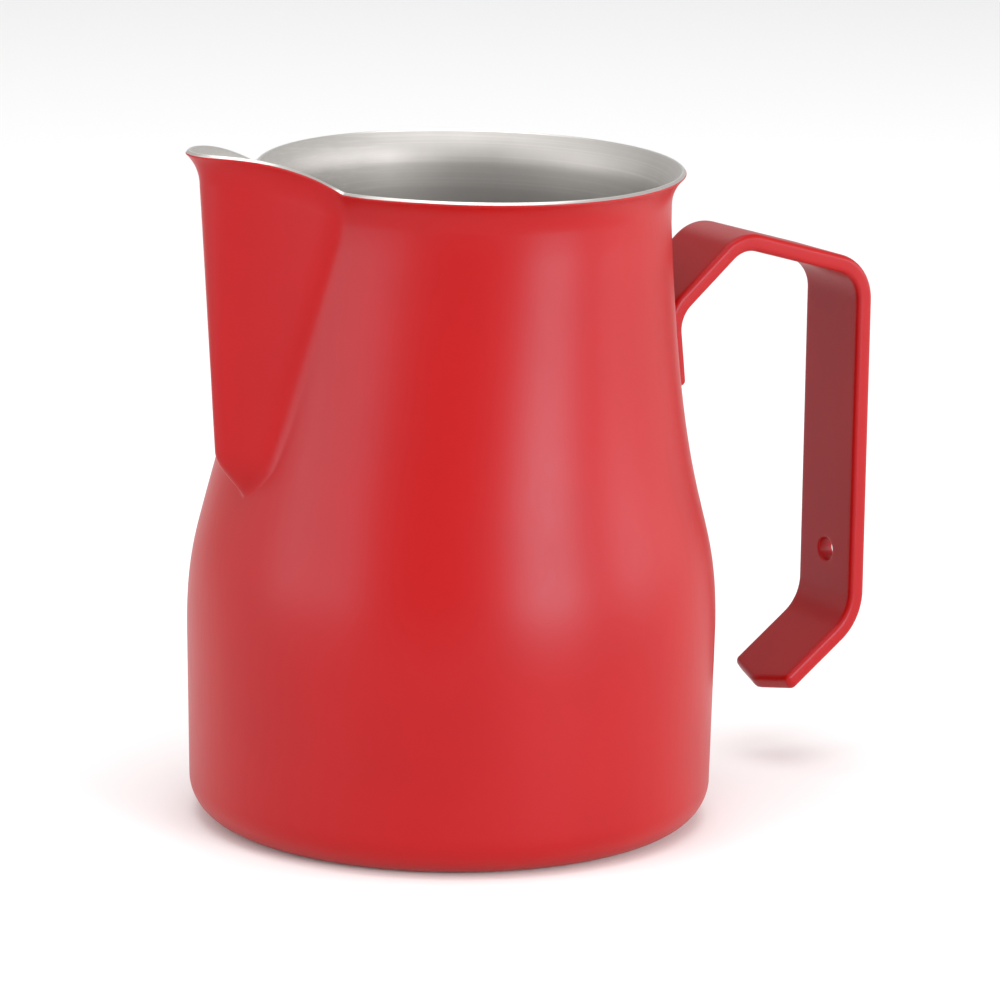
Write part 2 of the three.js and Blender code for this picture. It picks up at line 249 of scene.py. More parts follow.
def coatFinish():
    # Baked powder: broad mottling, orange peel, fine grain, thin edges painted lighter as an edge highlight
    # and a scuffed standing ring
    look = coatLook
    coat = Finish("baked_red_coat")
    place = coat.place()
    z = coat.parts(place)[2]
    mottle = coat.noise(place, look["mottleScale"], 3.0)
    peel = coat.noise(place, look["peelScale"], 2.0, 0.45)
    grain = coat.noise(place, look["grainScale"], 3.0, 0.6)
    # Rounded edges are painted lighter and pinker: partly the coat thinning there, partly a painted highlight
    # along them
    thinAndSheen = coat.edge().between(0.35, 1.0) * (0.45 + 0.55 * coat.noise(place, look["thinAndSheenScale"], 3.0))
    colour = coat.mixed(mottle.between(0.42, 0.68), look["red"], look["deepRed"])
    colour = coat.mixed(look["thinAndSheenShare"] * thinAndSheen, colour, look["thinRedAndEdgeSheen"])
    low = 1 - z.between(0.00005, look["rubbedHeight"])
    rubbed = low * coat.noise(place, look["rubbedScale"], 4.0, 0.7).between(0.50, 0.62)
    colour = coat.mixed(look["rubbedShare"] * rubbed, colour, look["scuff"])
    brushed = coat.noise(coat.scaled(place, look["brushedScale"]), 1.0, 2.0)
    roughness = look["roughness"] + look["roughnessSpread"] * (mottle - 0.5) + 0.05 * (brushed - 0.5)
    roughness = roughness - 0.05 * thinAndSheen + 0.16 * rubbed
    normal = coat.bumped(peel, look["peelDepth"])
    normal = coat.bumped(grain, look["grainDepth"], normal)
    coat.feed(coat.surface, {
        "Base Color": colour, "Roughness": roughness, "Normal": normal,
        "Specular IOR Level": look["level"], "Specular Tint": look["sheenTint"],
    })
    return coat.material


def steelFinish(weldSpots):
    # Drawn sheet turned inside: rings left by the polishing wheel, cloudy patches, a smoother rim painted in
    # lighter steel as a painted highlight, and the two faint round marks of the handle's welds. weldSpots are
    # (y, z) in metres.
    look = steelLook
    steel = Finish("turned_steel")
    place = steel.place()
    x, y, z = steel.parts(place)
    radius = (x * x + y * y) ** 0.5
    around = steel.node("ShaderNodeMath", {"operation": "ARCTAN2"}, {0: y, 1: x})
    # Rings run round the axis: high up the wall they follow z, on the floor the radius
    coarse = steel.joined(around * 0.35, radius * look["lineScale"], z * look["lineScale"])
    rings = steel.noise(coarse, 1.0, 4.0, 0.65)
    close = steel.joined(around * 2.2, radius * look["fineScale"], z * look["fineScale"])
    fine = steel.noise(close, 1.0, 2.0, 0.5)
    cloud = steel.noise(place, look["cloudScale"], 4.0, 0.55)
    spots = 0
    for spotY, spotZ in weldSpots:
        away = ((y - spotY) ** 2 + (z - spotZ) ** 2) ** 0.5
        mark = 1 - away.between(look["markInside"], look["markOutside"])
        spots = spots + mark * x.between(0.005, 0.010)  # on the handle's side only
    # The rim is painted in the lighter steel as a painted highlight; its lower roughness is the polish
    bright = steel.edge().between(0.3, 0.9)
    colour = steel.mixed(cloud.between(0.35, 0.70), look["steel"], look["dull"])
    colour = steel.mixed(0.35 * rings.between(0.45, 0.75), colour, look["bright"])
    colour = steel.mixed(0.45 * spots, colour, look["tint"])
    colour = steel.mixed(bright, colour, look["bright"])
    roughness = look["roughness"] + 0.10 * (cloud - 0.5) + 0.10 * (rings - 0.5)
    roughness = roughness - (look["roughness"] - look["rimRoughness"]) * bright + 0.08 * spots
    normal = steel.bumped(rings, look["lineDepth"])
    normal = steel.bumped(fine, look["lineDepth"] * 0.5, normal)
    steel.feed(steel.surface, {
        "Base Color": colour, "Roughness": roughness, "Normal": normal, "Metallic": 1.0})
    return steel.material


def weldFinish():
    # Steel that has melted: coarse ripples and straw to blue heat colours
    weld = Finish("weld_steel")
    place = weld.place()
    ripple = weld.noise(place, weldLook["rippleScale"], 3.0, 0.6)
    heat = weld.noise(place, weldLook["heatScale"], 2.0)
    colour = weld.mixed(heat.between(0.40, 0.62), steelLook["tint"], weldLook["blue"])
    weld.feed(weld.surface, {
        "Base Color": colour, "Roughness": weldLook["roughness"] + 0.2 * ripple,
        "Normal": weld.bumped(ripple, weldLook["rippleDepth"]), "Metallic": 1.0})
    return weld.material


# The drawn body

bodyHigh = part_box("pitcher_body")[1]

body = {
    "sheet": 0.9,
    "coat": 0.06,
    "rimHeight": 109.7,
    "baseRadius": 43.9,
    "baseFillet": 6.7,
    "standWidth": 3.2,
    "recessDepth": 0.6,
    "recessStep": 1.2,
    "bellyRadius": bodyHigh[1] / mm,
    "bellyHeight": 33.0,
    "shoulderPull": 0.33,
    "neckPull": 0.78,
    "neckRadius": 35.6,
    "neckDrop": 8.4,
    "neckTaper": math.radians(3),
    "lipDrop": 5.2,
    "lipFlare": 2.4,
    "rimBulge": 0.22,  # how far the rounded edge of the sheet stands out of its cut
    "rimRows": 11,
    "coveredRim": 4,  # rows of the rim that the coat covers
    "rimPower": 0.7,  # under 1 makes the rim's half ellipse squarer
    "coatTaper": 0.25,  # the coat thins out over this length
    "coatSunk": 0.02,  # its hidden side lies this far in the sheet
    # how far back from the rim the coat is painted lighter, for thinning and a painted highlight
    "coatThinAndSheenReach": 0.9,
}

spout = {
    "footHeight": 58.5,
    "noseHeight": 8.0,
    "reach": 12.7,
    "rake": 0.07,
    "halfAngle": 20.5,
    "halfAngleRate": 0.33,
    "smallestHalfAngle": 1.0,
    "keelRadius": 3.6,
    "keelRadiusRate": 0.09,
    "smallestKeel": 1.2,
    "blend": 2.8,
    "leastSlope": 0.1,
    "blendSpan": 10.0,
    "drawIn": 4.1,
    "drawInFrom": 33.0,
    "drawInTo": 105.0,
    "drawInSoft": 5.0,
    "tipRise": 6.1,
    "riseDrop": 40.0,
    "risePower": 0.85,
    "cornerCalm": 0.45,
    "cornerSpan": 8.5,
}

bodyRows = {
    "panel": 10, "step": 8, "ring": 6, "fillet": 20, "wall": 10,
    "belly": 22, "nose": 30, "neck": 30, "lip": 16,
}
bodyColumns = {"spout": 96, "rest": 150, "keelStep": 0.35}

neckHeight = body["rimHeight"] - body["neckDrop"]
lipHeight = body["rimHeight"] - body["lipDrop"]


def shoulderRadius(height):
    # Cubic Bezier curve, upright at the belly and leaning by the taper at the neck, read off by its height
    rise = neckHeight - body["bellyHeight"]
    neckLean = body["neckPull"] * rise * math.tan(body["neckTaper"])
    t = np.linspace(0, 1, 4001)
    weights = [(1 - t) ** 3, 3 * (1 - t) ** 2 * t, 3 * (1 - t) * t ** 2, t ** 3]
    radii = [body["bellyRadius"], body["bellyRadius"], body["neckRadius"] + neckLean, body["neckRadius"]]
    heights = [body["bellyHeight"], body["bellyHeight"] + body["shoulderPull"] * rise,
               neckHeight - body["neckPull"] * rise, neckHeight]
    return np.interp(height, sum(w * h for w, h in zip(weights, heights)),
                     sum(w * r for w, r in zip(weights, radii)))


def bodyProfile():
    # Radius, height and flare of each row, from the middle of the base up to the lip
    counts = bodyRows
    filletRadius = body["baseRadius"] - body["baseFillet"]
    ringRadius = filletRadius - body["standWidth"]
    panelRadius = ringRadius - body["recessStep"]
    baseRadii = np.concatenate([
        np.linspace(0, panelRadius, counts["panel"], endpoint=False),
        np.linspace(panelRadius, ringRadius, counts["step"], endpoint=False),
        np.linspace(ringRadius, filletRadius, counts["ring"], endpoint=False)])
    baseHeights = body["recessDepth"] * (1 - smooth(baseRadii, panelRadius, ringRadius))
    turn = np.linspace(0, math.pi / 2, counts["fillet"], endpoint=False)
    share = np.linspace(0, 1, counts["wall"], endpoint=False)
    noseTop = spout["footHeight"] + 1.4 * spout["noseHeight"]
    wallHeights = np.concatenate([
        np.linspace(body["bellyHeight"], spout["footHeight"] - 1, counts["belly"], endpoint=False),
        np.linspace(spout["footHeight"] - 1, noseTop, counts["nose"], endpoint=False),
        np.linspace(noseTop, neckHeight, counts["neck"])])
    lipEnd = 2 * math.atan(body["lipFlare"] / body["lipDrop"])
    lipRadius = body["lipDrop"] / math.sin(lipEnd)
    lipTurn = np.linspace(0, lipEnd - body["rimBulge"] / lipRadius, counts["lip"])
    radius = np.concatenate([
        baseRadii, filletRadius + body["baseFillet"] * np.sin(turn),
        body["baseRadius"] + (body["bellyRadius"] - body["baseRadius"]) * share,
        shoulderRadius(wallHeights), np.full(len(lipTurn), body["neckRadius"])])
    height = np.concatenate([
        baseHeights, body["baseFillet"] * (1 - np.cos(turn)),
        body["baseFillet"] + (body["bellyHeight"] - body["baseFillet"]) * share,
        wallHeights, lipHeight + lipRadius * np.sin(lipTurn)])
    flare = np.zeros(len(radius))
    flare[-len(lipTurn):] = lipRadius * (1 - np.cos(lipTurn))
    return radius[:, None], height[:, None], flare[:, None]


def bodyAngles():
    # Angles from the keel, closest together at the keel and even round the rest
    spoutEnd = math.radians(spout["halfAngle"] + spout["blendSpan"])
    half = bodyColumns["spout"] // 2
    share = np.arange(-half, half) / half
    first = bodyColumns["keelStep"]
    near = np.sign(share) * spoutEnd * (first * np.abs(share) + (1 - first) * share ** 2)
    rest = spoutEnd + np.arange(bodyColumns["rest"]) / bodyColumns["rest"] * 2 * (math.pi - spoutEnd)
    angles = np.concatenate([near, rest])
    return np.where(angles > math.pi, angles - 2 * math.pi, angles)[None, :]


def drawnIn(height):
    # Grows evenly from the spout's foot to the lip, eased in by (x + s)^2 / 4s over s each side of it
    soft = spout["drawInSoft"]
    x = height - spout["footHeight"]
    eased = np.where(x > soft, x, np.maximum(x + soft, 0) ** 2 / (4 * soft))
    return spout["drawIn"] * eased / (lipHeight - spout["footHeight"])


def wallRadius(angle, radius, height):
    # The round wall less what pressing the spout has drawn in beside it
    away = smooth(np.abs(angle), math.radians(spout["drawInFrom"]), math.radians(spout["drawInTo"]))
    return radius - drawnIn(height) * (1 - away)


def spoutExcess(angle, radius, height):
    # How far the spout stands out of the wall. Its section is v^2 = 2 k d + m d^2, with v across, d back
    # from the keel, k the keel's rounding, and m such that it meets the wall at the half angle. Past that it
    # runs on down its own slope, and (e + b)^2 / 4b, with b the blend's depth, joins it to the wall.
    over = np.clip((height - spout["footHeight"]) / spout["noseHeight"], 1e-9, 1)
    drop = lipHeight - height
    wall = radius - drawnIn(height)
    out = np.sin(math.pi / 2 * over)
    full = body["neckRadius"] + spout["reach"] - spout["rake"] * drop - wall
    reach = np.maximum(out * full, 1e-9)
    half = np.maximum(spout["halfAngle"] - spout["halfAngleRate"] * drop, spout["smallestHalfAngle"])
    half = np.radians(half) * np.sqrt(out)
    keel = np.maximum(spout["keelRadius"] - spout["keelRadiusRate"] * drop, spout["smallestKeel"])
    keel = keel * np.sqrt(out)
    tip = wall + reach
    across = wall * np.sin(half)
    back = tip - wall * np.cos(half)
    conic = (across ** 2 - 2 * keel * back) / back ** 2
    turn = np.minimum(np.abs(angle), half)
    a = np.tan(turn) ** 2 - conic
    b = 2 * (keel + conic * tip)
    c = tip * (2 * keel + conic * tip)
    excess = 2 * c / (b + np.sqrt(np.maximum(b * b + 4 * a * c, 0))) / np.cos(turn) - wall
    alongSlope = 2 * keel + 2 * conic * back
    slope = wall * (alongSlope * np.sin(half) - 2 * across * np.cos(half)) / (
        alongSlope * np.cos(half) + 2 * across * np.sin(half))
    beyond = np.maximum(np.abs(angle) - half, 0)
    excess = excess + np.minimum(slope, -spout["leastSlope"] * wall) * beyond
    blend = np.minimum(spout["blend"], reach / 2)
    joined = np.where(excess >= blend, excess, (excess + blend) ** 2 / (4 * blend))
    return np.where((excess <= -blend) | (height <= spout["footHeight"]), 0, joined)


def bodySurface(angle, radius, height, flare):
    # The outside: each row's section, carried out along its normal by the flare and raised towards the tip
    level = np.minimum(height, lipHeight)

    def section(at):
        return wallRadius(at, radius, level) + spoutExcess(at, radius, level)

    tiny = 1e-4
    out = section(angle)
    change = (section(angle + tiny) - section(angle - tiny)) / (2 * tiny)
    normal = unit(np.stack([out * np.cos(angle) + change * np.sin(angle),
                            out * np.sin(angle) - change * np.cos(angle)], axis=-1))
    corner = (np.abs(angle) - math.radians(spout["halfAngle"])) / math.radians(spout["cornerSpan"])
    flare = flare * (1 - spout["cornerCalm"] * np.exp(-corner ** 2))
    lipExcess = spoutExcess(angle, body["neckRadius"], np.full_like(angle, lipHeight))
    share = np.clip(lipExcess / (spout["reach"] + spout["drawIn"]), 0, 1)
    tipRise = spout["tipRise"] * np.sin(math.pi / 2 * share ** spout["risePower"])
    lift = smooth(height, body["rimHeight"] - spout["riseDrop"], body["rimHeight"])
    return np.stack([-(out * np.cos(angle) + flare * normal[..., 0]),
                     -(out * np.sin(angle) + flare * normal[..., 1]),
                     height + tipRise * lift], axis=-1)


def makeBody(steel, coat):
    # Two closed skins: the bare sheet with its rounded rim, and the coat that ends at the rim's outer corner
    outside = bodySurface(bodyAngles(), *bodyProfile())
    normals = gridNormals(outside)
    normals[0] = (0, 0, -1)
    rows, columns = outside.shape[:2]
    under = outside - body["coat"] * normals
    inside = outside - body["sheet"] * normals
    # Rim: half an ellipse with flattened sides, from the outer corner over to the inner one
    sweep = np.linspace(0, math.pi, body["rimRows"] + 2)[1:-1, None, None]
    flat = np.sign(np.cos(sweep)) * np.abs(np.cos(sweep)) ** body["rimPower"]
    upwards = unit(outside[-1] - outside[-2])
    rim = (under[-1] + inside[-1]) / 2 + (under[-1] - inside[-1]) / 2 * flat + \
        body["rimBulge"] * upwards * np.sin(sweep) ** body["rimPower"]
    skin = np.concatenate([under, rim, inside[::-1]])
    edge = np.zeros(skin.shape[:2])
    edge[rows - 1:rows + len(rim) + 1] = 1
    quads = gridQuads(len(skin), columns)
    shell = makePiece("body_shell", skin.reshape(-1, 3), quads, edge, steel)

    # The coat goes on over the outer part of the rim and thins out there
    covered = rim[:body["coveredRim"]]
    bare = np.concatenate([under, covered])
    slant = np.cos(sweep[:len(covered)]) * normals[-1] + np.sin(sweep[:len(covered)]) * upwards
    bareNormals = np.concatenate([normals, unit(slant)])
    fromEnd = np.linalg.norm(np.diff(bare, axis=0), axis=-1)[::-1].cumsum(axis=0)[::-1]
    fromEnd = np.concatenate([fromEnd, np.zeros((1, columns))])
    depth = body["coat"] * np.sqrt(np.clip(fromEnd / body["coatTaper"], 0, 1))[..., None]
    outer = bare + depth * bareNormals
    inner = bare - body["coatSunk"] * bareNormals
    skin = np.concatenate([outer, inner[::-1]])
    # The coat is painted lighter towards its end at the rim: thinning there and a painted highlight
    edge = np.exp(-fromEnd / body["coatThinAndSheenReach"])
    edge = np.concatenate([edge, edge[::-1]])
    quads = gridQuads(len(skin), columns)
    red = makePiece("body_coat", skin.reshape(-1, 3), quads, edge, coat)
    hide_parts("pitcher_body")
    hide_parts("pitcher_body")


# The handle

barLow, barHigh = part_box("handle_bar")

bar = {
    "width": (barHigh[1] - barLow[1]) / mm,
    "thickness": 3.0,
    "edgeRound": 0.95,
    "grip": barHigh[0] / mm,  # outer face of the grip
    "clearance": 0.3,  # between foot and neck
    "footDrop": 39.3,
    "footBendDrop": 26.7,
    "riseAngle": math.radians(40),
    "apexDrop": 15.0,
    "topBendDrop": 22.4,
    "lowerBendHeight": 25.8,
    "tailAngle": math.radians(36.5),
    "tailLength": 19.6,
    "endAngle": math.radians(16.5),
    "pointRound": 0.35,
    "bendRadii": [6.5, 6.4, 7.2, 9.0],  # foot, apex, top, lower
    "step": 1.2,  # between rows on the straights
    "tailStep": 1.0,
    "bendRows": 18,
    "endRows": 8,
    # width of the corner band painted lighter: thinner coat and a painted highlight
    "cornerThinAndSheen": 0.55,
}

hangingHole = {"radius": 1.95, "soften": 0.45, "height": 36.6, "patch": 4.2, "steps": 12, "mouthThinAndSheen": 0.5}
sideColumns = 4  # columns of a wide face on each side of the hole's patch


def barCorners():
    # Corners of the bar's middle line as (x, z): foot end, foot bend, apex, top bend, lower bend, tail point
    half = bar["thickness"] / 2
    footZ = body["rimHeight"] - bar["footDrop"]
    bendZ = body["rimHeight"] - bar["footBendDrop"]
    apexZ = body["rimHeight"] - bar["apexDrop"]
    footX, bendX = shoulderRadius(np.array([footZ, bendZ])) + bar["clearance"] + half
    gripX = bar["grip"] - half
    tail = bar["tailLength"] * np.array([math.cos(bar["tailAngle"]), math.sin(bar["tailAngle"])])
    lower = np.array([gripX, bar["lowerBendHeight"]])
    return np.array([
        (footX, footZ), (bendX, bendZ), (bendX + (apexZ - bendZ) / math.tan(bar["riseAngle"]), apexZ),
        (gripX, body["rimHeight"] - bar["topBendDrop"]), lower, lower - tail])


def straightRun(start, end, step):
    # Points from start up to, not including, end, with their direction
    count = max(2, round(float(np.linalg.norm(end - start)) / step))
    share = np.linspace(0, 1, count, endpoint=False)[:, None]
    return start + (end - start) * share, np.repeat(unit(end - start)[None], count, axis=0)


def barStations():
    # The middle line as straight runs and arcs, each arc touching the two runs beside it
    corners = barCorners()
    places, ways = [], []
    at = corners[0]
    for i, radius in enumerate(bar["bendRadii"], start=1):
        back = unit(corners[i - 1] - corners[i])
        on = unit(corners[i + 1] - corners[i])
        half = math.acos(float(back @ on)) / 2
        centre = corners[i] + unit(back + on) * radius / math.sin(half)
        start = corners[i] + back * radius / math.tan(half)
        side = math.copysign(1, back[0] * on[1] - back[1] * on[0])
        if i == len(bar["bendRadii"]):  # the grip: its rows meet the patch round the hole
            top = np.array([at[0], hangingHole["height"] + hangingHole["patch"]])
            bottom = np.array([at[0], hangingHole["height"] - hangingHole["patch"]])
            firstRow = sum(len(p) for p in places) + len(straightRun(at, top, bar["step"])[0])
            patchStep = 2 * hangingHole["patch"] / hangingHole["steps"]
            runs = [straightRun(at, top, bar["step"]), straightRun(top, bottom, patchStep),
                    straightRun(bottom, start, bar["tailStep"])]
        else:
            runs = [straightRun(at, start, bar["step"])]
        turn = np.linspace(0, side * (2 * half - math.pi), bar["bendRows"], endpoint=False)
        first = math.atan2(*(start - centre)[::-1])
        spoke = np.stack([np.cos(first + turn), np.sin(first + turn)], axis=-1)
        runs.append((centre + radius * spoke, -side * np.stack([-spoke[:, 1], spoke[:, 0]], axis=-1)))
        places += [run[0] for run in runs]
        ways += [run[1] for run in runs]
        at = corners[i] + on * radius / math.tan(half)
    tailStart = sum(len(p) for p in places)
    place, way = straightRun(at, corners[-1], bar["tailStep"])
    places += [place, corners[-1:]]
    ways += [way, way[-1:]]
    return np.concatenate(places), np.concatenate(ways), firstRow, tailStart


def barSection(inset):
    # Rounded rectangle as (across, through), counter-clockwise, smaller all round by the inset. The wide
    # faces carry the columns that the hole's patch needs.
    halfWidth = bar["width"] / 2 - inset
    halfThick = bar["thickness"] / 2 - inset
    rounding = max(bar["edgeRound"] - inset, 0.02)
    patch, steps = hangingHole["patch"], hangingHole["steps"]
    flat = halfWidth - rounding
    wide = np.concatenate([np.linspace(-flat, -patch, sideColumns, endpoint=False),
                           np.linspace(-patch, patch, steps, endpoint=False),
                           np.linspace(patch, flat, sideColumns + 1)])
    quarter = np.linspace(0, math.pi / 2, 8)[1:-1]
    straight = halfThick - rounding
    narrow = np.linspace(-straight, straight, 3)
    low = np.stack([wide, np.full(len(wide), -halfThick)], axis=-1)
    turned = np.stack([flat + rounding * np.sin(quarter), -straight - rounding * np.cos(quarter)], axis=-1)
    right = np.stack([np.full(3, halfWidth), narrow], axis=-1)
    half = np.concatenate([low, turned, right, turned[::-1] * (1, -1)])
    return np.concatenate([half, -half])


def makeHandle(coat):
    # The section carried along the middle line: place + through * normal, with Y across. The tail's rows lean
    # back by |y| tan(end angle), which cuts its end to a blunt point, and both ends close in rounded rows.
    place, way, holeRow, tailStart = barStations()
    section = barSection(0)
    columns = len(section)
    turn = np.linspace(0, math.pi / 2, bar["endRows"] + 1)[1:]
    closing = bar["edgeRound"]
    insets = closing * (1 - np.cos(turn))
    middle = slice(1, -2)  # the last straight row would lie among the leaning rows of the rounded end
    rowPlace = np.concatenate([np.repeat(place[:1], len(turn) + 2, axis=0), place[middle],
                               np.repeat(place[-1:], len(turn) + 2, axis=0)])
    rowWay = np.concatenate([np.repeat(way[:1], len(turn) + 2, axis=0), way[middle],
                             np.repeat(way[-1:], len(turn) + 2, axis=0)])
    ends = np.array([barSection(inset) for inset in insets])
    lid = ends[-1:] * (1, 0)  # a row drawn together on the middle line closes the flat of the end
    mouth = np.concatenate([lid, ends[::-1], section[None]])
    sections = np.concatenate([mouth, np.repeat(section[None], len(place) - 3, axis=0), mouth[::-1]])
    along = np.zeros(len(sections))
    inwards = closing * (1 - np.sin(np.concatenate([turn[-1:], turn[::-1], [0]])))
    along[:len(inwards)] = inwards
    along[-len(inwards):] = -inwards[::-1]
    across, through = sections[..., 0], sections[..., 1]
    offset = len(turn) + 1  # rows that the closed foot end puts before the stations
    tail = np.clip((np.arange(len(sections)) - offset - tailStart) / (len(place) - 2 - tailStart), 0, 1)
    lean = np.sqrt(across ** 2 + bar["pointRound"] ** 2) - bar["pointRound"]
    shift = along[:, None] - tail[:, None] * lean * math.tan(bar["endAngle"])
    outward = np.stack([-rowWay[:, 1], rowWay[:, 0]], axis=-1)
    flatPoints = rowPlace[:, None] + shift[..., None] * rowWay[:, None]
    flatPoints = flatPoints + through[..., None] * outward[:, None]
    points = np.stack([flatPoints[..., 0], across, flatPoints[..., 1]], axis=-1)

    fromSide = np.minimum(bar["width"] / 2 - np.abs(across), 2.0)
    fromFace = np.minimum(bar["thickness"] / 2 - np.abs(through), 1.0)
    # Corners and ends are marked for the coat's lighter edge colour: thinning and a painted highlight
    edge = np.exp(-((fromSide + fromFace) / bar["cornerThinAndSheen"]) ** 2)
    edge[:len(turn)] = 1
    edge[-len(turn):] = 1

    # Round the hole, the grid's faces give way to a patch that runs from a square on one face, down the hole,
    # to the square on the other
    steps = hangingHole["steps"]
    firstRow = holeRow + offset
    low = sideColumns
    high = columns // 2 + sideColumns
    quads = gridQuads(len(points), columns).reshape(len(points) - 1, columns, 4)
    keep = np.ones(quads.shape[:2], dtype=bool)
    keep[firstRow:firstRow + steps, low:low + steps] = False
    keep[firstRow:firstRow + steps, high:high + steps] = False
    patchPoints, patchQuads, patchEdge = holePatch(points, firstRow, columns)
    quads = np.concatenate([quads[keep], patchQuads])
    edge = np.concatenate([edge.ravel(), patchEdge])
    points = np.concatenate([points.reshape(-1, 3), patchPoints])
    piece = makePiece("handle_coat", points, quads, edge, coat)
    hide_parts("handle_bar")


def holePatch(points, firstRow, columns):
    # Rings from the square to the circle, over a quarter round into the hole and out the same way. A ring is
    # square + (circle - square) * share on the faces, then radius R + s (1 - sin a) at depth s (1 - cos a).
    steps = hangingHole["steps"]
    low = sideColumns
    rows = np.arange(steps)
    square = np.concatenate([
        np.stack([firstRow + rows * 0, low + rows], axis=-1),
        np.stack([firstRow + rows, low + steps + rows * 0], axis=-1),
        np.stack([firstRow + steps + rows * 0, low + steps - rows], axis=-1),
        np.stack([firstRow + steps - rows, low + rows * 0], axis=-1)])
    edgePoints = points[square[:, 0], square[:, 1]]
    centre = np.array([0, 0, hangingHole["height"]])
    spoke = edgePoints - centre
    spoke[:, 0] = 0
    direction = unit(spoke)
    reach = np.linalg.norm(spoke, axis=-1)
    soften, radius = hangingHole["soften"], hangingHole["radius"]
    face = np.array([0.25, 0.5, 0.7, 0.85, 1.0])
    turn = np.linspace(0, math.pi / 2, 7)[1:]
    mouth = radius + soften
    distance = np.concatenate([reach + (mouth - reach) * face[:, None],
                               np.repeat((mouth - soften * np.sin(turn))[:, None], len(reach), axis=1)])
    depth = np.concatenate([np.zeros(len(face)), soften * (1 - np.cos(turn))])
    distance = np.concatenate([distance, distance[::-1]])
    thick = bar["thickness"]
    depth = np.concatenate([depth, thick - depth[::-1]])
    start = edgePoints[0, 0]
    rings = centre + distance[..., None] * direction
    rings[..., 0] = start + depth[:, None]
    # The hole's mouth is marked for the coat's lighter edge colour: thinning and a painted highlight
    edge = np.exp(-((distance - mouth) / hangingHole["mouthThinAndSheen"]) ** 2)
    count = len(square)
    base = points.shape[0] * points.shape[1]
    nearIds = square[:, 0] * columns + square[:, 1]
    farColumn = columns // 2 + 2 * low + steps - square[:, 1]
    farIds = square[:, 0] * columns + farColumn
    ringIds = base + np.arange(len(rings) * count).reshape(len(rings), count)
    ids = np.concatenate([nearIds[None], ringIds, farIds[None]])
    after = np.roll(ids, -1, axis=1)
    quads = np.stack([ids[:-1], after[:-1], after[1:], ids[1:]], axis=-1).reshape(-1, 4)
    return rings.reshape(-1, 3), quads, edge.ravel()


footWeld = {
    "halfWidth": 6.9,
    "fromEnd": 0.8,
    "toBend": 0.2,
    "cornerRound": 1.5,
    "spread": 0.55,
    "sunk": 0.1,
    "points": 96,
}


def makeFootWeld(coat):
    # The bead of weld and coat between the foot and the round neck, as rings of a rounded rectangle in the
    # foot's plane. Down the bead a share t of the gap goes with a spread of G (1 - sqrt(1 - t^2)).
    place, way = barStations()[:2]
    outward = np.array([-way[0, 1], way[0, 0]])
    face = place[0] - outward * bar["thickness"] / 2
    corners = barCorners()
    bend = bar["bendRadii"][0] * math.tan((math.pi / 2 - bar["riseAngle"]) / 2)
    length = float(np.linalg.norm(corners[1] - corners[0])) - bend
    middle = (footWeld["fromEnd"] + length - footWeld["toBend"]) / 2
    halfLength = middle - footWeld["fromEnd"]
    turn = np.linspace(0, 2 * math.pi, footWeld["points"], endpoint=False) + math.pi / footWeld["points"]
    rounding = footWeld["cornerRound"]
    spoke = np.stack([np.cos(turn), np.sin(turn)], axis=-1)
    core = np.sign(spoke) * np.array([footWeld["halfWidth"] - rounding, halfLength - rounding])
    t = np.linspace(0, 1, 9)
    grow = np.concatenate([[0, 0], footWeld["spread"] * (1 - np.sqrt(1 - t ** 2)), [footWeld["spread"]] * 2])
    scale = np.concatenate([[0], np.ones(len(t) + 2), [0]])
    depth = np.concatenate([[0, 0], t, [1, 1]])
    sink = np.concatenate([[1, 1], t * 0, [-1, -1]]) * footWeld["sunk"]
    outline = (core + spoke * (rounding + grow[:, None, None])) * scale[:, None, None]
    across = outline[..., 0]
    foot = face + (middle + outline[..., 1:]) * way[0]
    neck = np.sqrt(shoulderRadius(foot[..., 1]) ** 2 - across ** 2)
    x = foot[..., 0] + (neck - foot[..., 0]) * depth[:, None] + sink[:, None]
    points = np.stack([x, across, foot[..., 1]], axis=-1)
    edge = np.zeros(points.shape[:2])
    quads = gridQuads(len(points), points.shape[1])[:, ::-1]
    makePiece("foot_weld", points.reshape(-1, 3), quads, edge, coat)


# Studio: floor, lights and camera

studio = {
    "floorSize": 14.0,
    "floor": (0.90, 0.90, 0.90, 1),
    "world": (1.0, 1.0, 1.0, 1),
    "worldStrength": 0.60,
    "aim": (0.0, 0.0, 0.060),
}

# azimuth is counted from the camera's side, to the right; brightness is the panel's own
panels = [
    {"name": "right_front", "azimuth": 43, "elevation": 10, "away": 1.0, "width": 0.45, "height": 0.35,
     "brightness": 15.0},
    {"name": "right_side", "azimuth": 85, "elevation": 10, "away": 1.0, "width": 0.35, "height": 0.35,
     "brightness": 7.2},
    {"name": "right_back", "azimuth": 110, "elevation": 10, "away": 1.0, "width": 0.45, "height": 0.35,
     "brightness": 2.4},
    {"name": "left_front", "azimuth": -50, "elevation": 10, "away": 1.0, "width": 0.35, "height": 0.35,
     "brightness": 5.9},
    {"name": "left_side", "azimuth": -75, "elevation": 10, "away": 1.0, "width": 0.35, "height": 0.35,
     "brightness": 5.9},
    {"name": "left_back", "azimuth": -105, "elevation": 10, "away": 1.0, "width": 0.45, "height": 0.35,
     "brightness": 1.1},
    {"name": "front_high", "azimuth": 5, "elevation": 45, "away": 1.5, "width": 0.7, "height": 0.5,
     "brightness": 1.6},
    {"name": "behind", "azimuth": 180, "elevation": 35, "away": 1.3, "width": 0.8, "height": 0.6,
     "brightness": 0.8},
    {"name": "left_high", "azimuth": -60, "elevation": 42, "away": 1.2, "width": 1.0, "height": 0.6,
     "brightness": 0.9},
    {"name": "above", "azimuth": 0, "elevation": 85, "away": 1.2, "width": 1.0, "height": 1.0,
     "brightness": 2.4},
]

